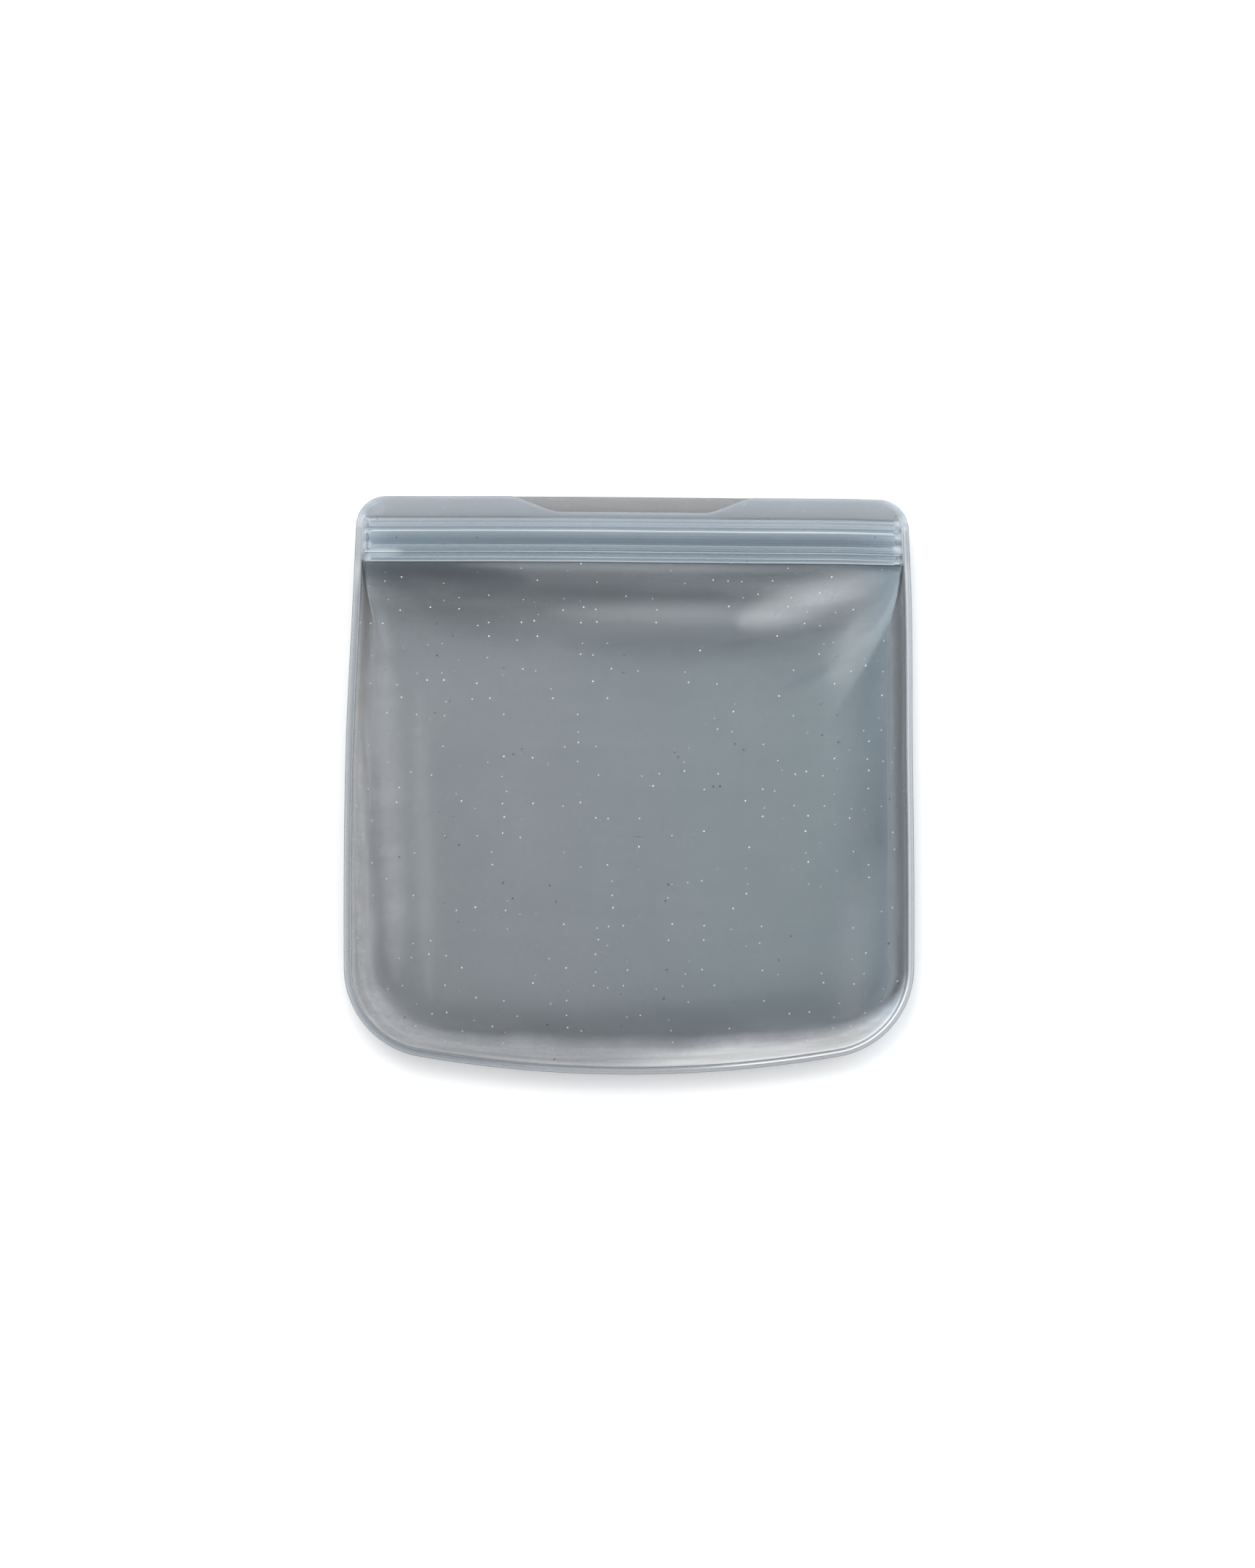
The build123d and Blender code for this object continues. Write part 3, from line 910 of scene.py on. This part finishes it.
def stretched(tree, attribute, scale):
    """A vertex attribute in millimetres, stretched by scale."""
    place = add(tree, "ShaderNodeAttribute", attribute_name=attribute)
    stretch = add(tree, "ShaderNodeVectorMath", operation="MULTIPLY")
    stretch.inputs[1].default_value = [s / MM for s in scale]
    tree.links.new(place.outputs["Vector"], stretch.inputs[0])
    return stretch.outputs["Vector"]


def noise_of(tree, size, stretch=(1, 1, 1), detail=2.0, rough=0.5, attribute="place"):
    """Noise from 0 to 1 with features about size millimetres across."""
    texture = add(tree, "ShaderNodeTexNoise", Scale=1.0 / size, Detail=detail, Roughness=rough)
    tree.links.new(stretched(tree, attribute, stretch), texture.inputs["Vector"])
    return texture.outputs["Fac"]


def value_of(tree, attribute):
    """A vertex attribute as a number."""
    return add(tree, "ShaderNodeAttribute", attribute_name=attribute).outputs["Fac"]


def ramp(tree, value, low, high, a=0.0, b=1.0):
    """A straight rise from a at low to b at high, held level beyond both."""
    node = add(tree, "ShaderNodeMapRange")
    node.inputs["From Min"].default_value = low
    node.inputs["From Max"].default_value = high
    node.inputs["To Min"].default_value = a
    node.inputs["To Max"].default_value = b
    tree.links.new(value, node.inputs["Value"])
    return node.outputs["Result"]


def maths(tree, operation, a, b, clamp=False):
    """A sum, product or the like of two sockets or numbers."""
    node = add(tree, "ShaderNodeMath", operation=operation, use_clamp=clamp)
    for socket, value in zip(node.inputs, (a, b)):
        if isinstance(value, (int, float)):
            socket.default_value = value
        else:
            tree.links.new(value, socket)
    return node.outputs[0]


def mix_colour(tree, fac, a, b, blend="MIX"):
    """Colour a turned towards b, or blended with it, by fac."""
    node = add(tree, "ShaderNodeMix", data_type="RGBA", blend_type=blend)
    if isinstance(fac, (int, float)):
        node.inputs[0].default_value = fac
    else:
        tree.links.new(fac, node.inputs[0])
    for socket, value in ((node.inputs[6], a), (node.inputs[7], b)):
        if isinstance(value, (tuple, list)):
            socket.default_value = (*value[:3], 1.0)
        else:
            tree.links.new(value, socket)
    return node.outputs[2]


def spots(tree, cell, radius, share, stretch):
    """Small round spots: one in some cells of a flat pattern."""
    cells = add(tree, "ShaderNodeTexVoronoi", Scale=1.0 / cell, voronoi_dimensions="2D")
    tree.links.new(stretched(tree, "place", stretch), cells.inputs["Vector"])
    pick = add(tree, "ShaderNodeSeparateColor")
    tree.links.new(cells.outputs["Color"], pick.inputs["Color"])
    size = ramp(tree, pick.outputs["Green"], 0, 1, 0.35 * radius / cell, 1.2 * radius / cell)
    near = maths(tree, "SUBTRACT", size, cells.outputs["Distance"])
    inside = ramp(tree, near, 0.0, 0.25 * radius / cell)
    present = ramp(tree, pick.outputs["Red"], 1 - share, 1 - share + 0.01)
    return maths(tree, "MULTIPLY", inside, present)


def silicone(
    name,
    tint,
    tint_deep,
    milk,
    haze,
    streak=(1, 1, 1),
    dust=(1, 1, 1),
    grain=1.0,
    bump=0.05,
    grit=0.25,
    cool=(1, 1, 1),
    rim=(1, 1, 1),
):
    """See-through silicone: a tinted clear body, a little milk in it, dust and a soft gloss on top, and the
    painted light and painted shade that each vertex carries.

    tint is what one surface lets through, tint_deep the same where the film is a little thicker,
    milk the colour that the film itself scatters, and haze how much of it shows. streak and dust
    stretch the grain and the specks, grain is how strong the grain is, bump the relief and grit the
    specks' size in millimetres. The tint turns to cool from left to right, and to rim inside the right
    seam.
    """
    material, tree = node_tree(name)
    links = tree.links
    cloud = noise_of(tree, 26, detail=3.0)
    fine = noise_of(tree, 1.6, stretch=streak, detail=4.0)
    drawn = noise_of(tree, 9.0, stretch=(0.10, 1.4, 1), detail=5.0, rough=0.65)
    clear = add(tree, "ShaderNodeBsdfTransparent")
    deep = maths(tree, "ADD", ramp(tree, cloud, 0.3, 0.7, 0, 0.6), ramp(tree, drawn, 0.35, 0.65, 0, 0.4))
    tinted = mix_colour(tree, deep, tint, tint_deep)
    sides = add(tree, "ShaderNodeSeparateXYZ")
    place = add(tree, "ShaderNodeAttribute", attribute_name="place")
    links.new(place.outputs["Vector"], sides.inputs[0])
    to_right = ramp(tree, sides.outputs["X"], -0.04, 0.07)
    tinted = mix_colour(tree, to_right, tinted, cool, blend="MULTIPLY")
    at_rim = ramp(tree, sides.outputs["X"], 0.076, 0.088)
    tinted = mix_colour(tree, at_rim, tinted, rim, blend="MULTIPLY")
    # Painted shade darkens the tint towards a teal dark; a shade below zero fades the piece to clear instead
    dark = [c * d for c, d in zip(tint_deep, (0.35, 0.43, 0.48))]
    shaded = mix_colour(tree, value_of(tree, "shade"), tinted, dark)
    fade = ramp(tree, value_of(tree, "shade"), 0, -1)
    links.new(mix_colour(tree, fade, shaded, (1, 1, 1)), clear.inputs["Color"])

    body = add(tree, "ShaderNodeBsdfPrincipled")
    body.inputs["Roughness"].default_value = ROUGHNESS
    body.inputs["IOR"].default_value = REFRACTION
    scatter = mix_colour(tree, ramp(tree, fine, 0.3, 0.7), milk, [c * (1 - 0.15 * grain) for c in milk])
    # Where the milk carries painted highlights, as on the seam's bead and the strip's light lines, it turns
    # nearly white
    painted_highlight_white = ramp(tree, value_of(tree, "milk"), 0.45, 0.85)
    scatter = mix_colour(tree, painted_highlight_white, scatter, (0.95, 0.94, 0.92))
    # Inside the right seam the scattered colour turns bluer too, colouring the painted shade there
    scatter = mix_colour(tree, at_rim, scatter, [c**10 for c in rim], blend="MULTIPLY")
    white = spots(tree, 5.0, grit, 0.45, dust)
    black = spots(tree, 70 * grit, 1.4 * grit, 0.45, (dust[1], dust[0], 1))
    scatter = mix_colour(tree, white, scatter, (0.92, 0.93, 0.93))
    scatter = mix_colour(tree, black, scatter, (0.05, 0.05, 0.055))
    links.new(scatter, body.inputs["Base Color"])
    relief = add(tree, "ShaderNodeBump", Strength=bump, Distance=0.0004)
    links.new(noise_of(tree, 5.0, stretch=streak, detail=4.0), relief.inputs["Height"])
    links.new(relief.outputs["Normal"], body.inputs["Normal"])

    amount = ramp(tree, fine, 0.25, 0.75, haze * (1 - 0.25 * grain), haze * (1 + 0.25 * grain))
    # Painted sheen: soft streaks of reflection that run along the edges, where the attribute edge allows
    painted_edge_sheen = noise_of(tree, 3.2, stretch=(0.035, 0.55, 1), detail=4.0, rough=0.6, attribute="flow")
    painted_edge_sheen = maths(tree, "MULTIPLY", ramp(tree, painted_edge_sheen, 0.42, 0.66), value_of(tree, "edge"))
    amount = maths(tree, "ADD", amount, maths(tree, "MULTIPLY", painted_edge_sheen, 0.16))
    uneven = ramp(tree, drawn, 0.3, 0.7, 1 - 0.25 * grain, 1 + 0.25 * grain)
    amount = maths(tree, "ADD", amount, maths(tree, "MULTIPLY", value_of(tree, "milk"), uneven))
    white, black = maths(tree, "MULTIPLY", white, 0.5), maths(tree, "MULTIPLY", black, 0.7)
    amount = maths(tree, "MAXIMUM", amount, maths(tree, "MAXIMUM", white, black), clamp=True)
    amount = maths(tree, "MULTIPLY", amount, ramp(tree, fade, 0, 1, 1, 0))

    mix = add(tree, "ShaderNodeMixShader")
    links.new(amount, mix.inputs[0])
    links.new(clear.outputs[0], mix.inputs[1])
    links.new(body.outputs[0], mix.inputs[2])
    gloss = add(tree, "ShaderNodeBsdfGlossy", Roughness=ROUGHNESS)
    links.new(relief.outputs["Normal"], gloss.inputs["Normal"])
    edge = add(tree, "ShaderNodeFresnel", IOR=REFRACTION)
    links.new(relief.outputs["Normal"], edge.inputs["Normal"])
    coat = add(tree, "ShaderNodeMixShader")
    glossy = maths(tree, "MULTIPLY", edge.outputs[0], ramp(tree, fade, 0, 1, 1, 0))
    links.new(glossy, coat.inputs[0])
    links.new(mix.outputs[0], coat.inputs[1])
    links.new(gloss.outputs[0], coat.inputs[2])
    out = add(tree, "ShaderNodeOutputMaterial")
    links.new(coat.outputs[0], out.inputs["Surface"])
    return material


FILM_TINT = (0.8345, 0.844, 0.8485)
FILM_DEEP = (0.8055, 0.821, 0.8325)
FILM_COOL = (0.981, 1.0, 1.004)
FILM_MILK = (0.68, 0.69, 0.71)
# Bluer inside the right seam, where it colours the painted shade
FILM_RIM = (0.988, 1.0, 1.010)
FILM_COLOURS = (FILM_TINT, FILM_DEEP, FILM_MILK)
film_material = silicone("silicone_film", *FILM_COLOURS, 0.05, cool=FILM_COOL, rim=FILM_RIM)
back_material = silicone(
    "silicone_back", *FILM_COLOURS, 0.04, dust=(1.13, 0.9, 1), cool=FILM_COOL, rim=FILM_RIM
)
seam_material = silicone(
    "silicone_seam",
    (0.815, 0.828, 0.846),
    (0.795, 0.813, 0.831),
    (0.73, 0.745, 0.765),
    0.095,
    grain=0.15,
    grit=0.12,
)
strip_material = silicone(
    "silicone_strip",
    (0.836, 0.880, 0.908),
    (0.828, 0.872, 0.900),
    (0.68, 0.735, 0.78),
    0.06,
    streak=(0.05, 1.5, 1),
    grain=0.3,
    bump=0.02,
    grit=0.12,
)
lock_material = silicone(
    "silicone_lock",
    (0.955, 0.97, 0.98),
    (0.95, 0.965, 0.975),
    (0.62, 0.70, 0.75),
    0.04,
    grain=0.4,
    grit=0.1,
)
seal_material = silicone(
    "silicone_fused", (0.94, 0.945, 0.95), (0.92, 0.925, 0.93), (0.74, 0.74, 0.76), 0.14, grit=0.12
)
lip_material = silicone(
    "silicone_lip",
    (0.905, 0.918, 0.932),
    (0.868, 0.885, 0.902),
    (0.62, 0.68, 0.735),
    0.17,
    grain=1.6,
    grit=0.13,
)
# The back lip's silicone is a darker, greyer copy of the lip's: painted shade on the back lip where it shows
# in the notch
back_lip_shaded_material = silicone(
    "silicone_back_lip_shaded", (0.57, 0.567, 0.57), (0.555, 0.552, 0.557), (0.50, 0.50, 0.51), 0.06, grit=0.13
)


def finish_piece(obj, material):
    """Stores a piece's places at rest and gives it its material."""
    keep_place(obj)
    obj.data.materials.clear()
    obj.data.materials.append(material)


# ---------------------------------------------------------------- camera, lights and floor

CAMERA_HEIGHT = 1300.0
# How much of the plane through the seam the picture's height covers
VIEW_HEIGHT = 527.5
SENSOR = 36.0


def make_camera():
    """A camera straight above the bag."""
    data = bpy.data.cameras.new("camera")
    camera = bpy.data.objects.new("camera", data)
    bpy.context.scene.collection.objects.link(camera)
    data.sensor_width = SENSOR
    data.lens = SENSOR * (CAMERA_HEIGHT - SEAM_LEVEL) / VIEW_HEIGHT
    camera.location = (-0.5 * MM, 0.5 * MM, CAMERA_HEIGHT * MM)
    data.clip_end = 20
    bpy.context.scene.camera = camera


def area_light(name, place, size, power, colour, in_gloss=True):
    """A soft light at place, in metres, that points at the bag."""
    data = bpy.data.lights.new(name, "AREA")
    data.shape = "RECTANGLE"
    data.size, data.size_y = size
    data.energy = power
    data.color = colour
    light = bpy.data.objects.new(name, data)
    light.location = place
    light.rotation_mode = "QUATERNION"
    light.rotation_quaternion = (-Vector(place)).to_track_quat("-Z", "Y")
    light.visible_glossy = in_gloss
    bpy.context.scene.collection.objects.link(light)


def make_studio():
    """Pale surroundings and three soft lights."""
    scene = bpy.context.scene
    scene.view_settings.view_transform = "Standard"
    scene.cycles.transparent_max_bounces = 48
    scene.cycles.max_bounces = 12
    world = bpy.data.worlds.new("studio")
    scene.world = world
    world.use_nodes = True
    nodes = world.node_tree.nodes
    background = nodes.get("Background") or nodes.new("ShaderNodeBackground")
    output = nodes.get("World Output") or nodes.new("ShaderNodeOutputWorld")
    world.node_tree.links.new(background.outputs[0], output.inputs[0])
    background.inputs["Color"].default_value = (0.93, 0.96, 1.0, 1)
    background.inputs["Strength"].default_value = 0.62
    area_light("top", (-0.15, 0.20, 1.80), (3.6, 3.6), 27.0, (0.99, 0.995, 1.0))
    area_light("upper_left", (-0.40, 1.00, 1.45), (1.0, 1.0), 13.0, (1.0, 0.995, 0.985), in_gloss=False)
    area_light("upper_right", (0.95, 0.80, 1.15), (1.2, 1.2), 9.0, (0.90, 0.97, 1.0))


def make_floor():
    """A plain pale floor just under the bag."""
    size = 3.0
    mesh = bpy.data.meshes.new("floor")
    corners = [(-size, -size, 0), (size, -size, 0), (size, size, 0), (-size, size, 0)]
    mesh.from_pydata(corners, [], [(0, 1, 2, 3)])
    floor = bpy.data.objects.new("floor", mesh)
    bpy.context.scene.collection.objects.link(floor)
    floor.location.z = -0.0004
    material, tree = node_tree("floor_paper")
    paper = add(tree, "ShaderNodeBsdfDiffuse", Color=(0.975, 0.965, 0.955, 1))
    out = add(tree, "ShaderNodeOutputMaterial")
    tree.links.new(paper.outputs[0], out.inputs["Surface"])
    mesh.materials.append(material)


# ---------------------------------------------------------------- putting it together

HINGE = next(j for j in frame["joints"] if j["name"] == "mouth_opening")
HINGE_Y = HINGE["pos_m"][Y] / MM
# The front film starts to bend this far below the hinge, and is bent in full this far below the strip
BEND_BELOW_HINGE, BEND_BELOW_STRIP = 16, 4
# The back lip bends within this height above the strip
LIP_BEND = 2.5


def bow_up(obj):
    """Lets a piece lift with the mouth in the middle and stay welded at both side seams."""
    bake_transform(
        obj,
        "pouch",
        "front_mouth",
        start=(0, (HINGE_Y - BEND_BELOW_HINGE) * MM, 0),
        end=(0, (ZIP_FOOT_Y - BEND_BELOW_STRIP) * MM, 0),
    )
    weights = obj.data.attributes["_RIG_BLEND"]
    along = np.zeros(len(obj.data.vertices), np.float32)
    weights.data.foreach_get("value", along)
    places = np.zeros(len(along) * 3, np.float32)
    obj.data.vertices.foreach_get("co", places)
    across = np.abs(places.reshape(-1, 3)[:, X]) / MM / STRIP_HALF
    bow = np.clip(1 - across**2, 0, 1) ** 1.5
    weights.data.foreach_set("value", (along * bow).astype(np.float32))


def build():
    """Makes every piece and hangs it on its body."""
    front_film = make_front_film()
    finish_piece(front_film, film_material)
    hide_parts("front_panel", "front_mouth_panel")
    bow_up(front_film)

    back_film = make_back_film()
    finish_piece(back_film, back_material)
    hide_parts("back_panel")
    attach(back_film, "pouch")

    seam = make_seam()
    finish_piece(seam, seam_material)
    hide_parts("left_side_seam", "right_side_seam", "bottom_seam")
    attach(seam, "pouch")

    strip = make_front_strip()
    finish_piece(strip, strip_material)
    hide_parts("front_zip_strip")
    bow_up(strip)

    back_strip = make_back_strip()
    finish_piece(back_strip, strip_material)
    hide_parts("back_zip_strip")
    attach(back_strip, "pouch")

    for name in ("upper_lock_rib", "lower_lock_rib"):
        rib = make_rib(name)
        finish_piece(rib, lock_material)
        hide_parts(name)
        bow_up(rib)

    for name in ("upper_lock_channel", "lower_lock_channel"):
        channel = make_channel(name)
        finish_piece(channel, lock_material)
        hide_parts(name)
        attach(channel, "pouch")

    for name, way in (("left_end_seal", -1), ("right_end_seal", 1)):
        seal = make_end_seal(name, way)
        finish_piece(seal, seal_material)
        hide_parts(name)
        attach(seal, "pouch")

    front_lip = make_front_lip()
    finish_piece(front_lip, lip_material)
    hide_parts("front_lip")
    bow_up(front_lip)

    back_lip = make_back_lip()
    finish_piece(back_lip, back_lip_shaded_material)
    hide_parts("back_lip")
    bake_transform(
        back_lip,
        "pouch",
        "back_lip",
        start=(0, ZIP_TOP_Y * MM, 0),
        end=(0, (ZIP_TOP_Y + LIP_BEND) * MM, 0),
    )


make_camera()
make_studio()
make_floor()
build()
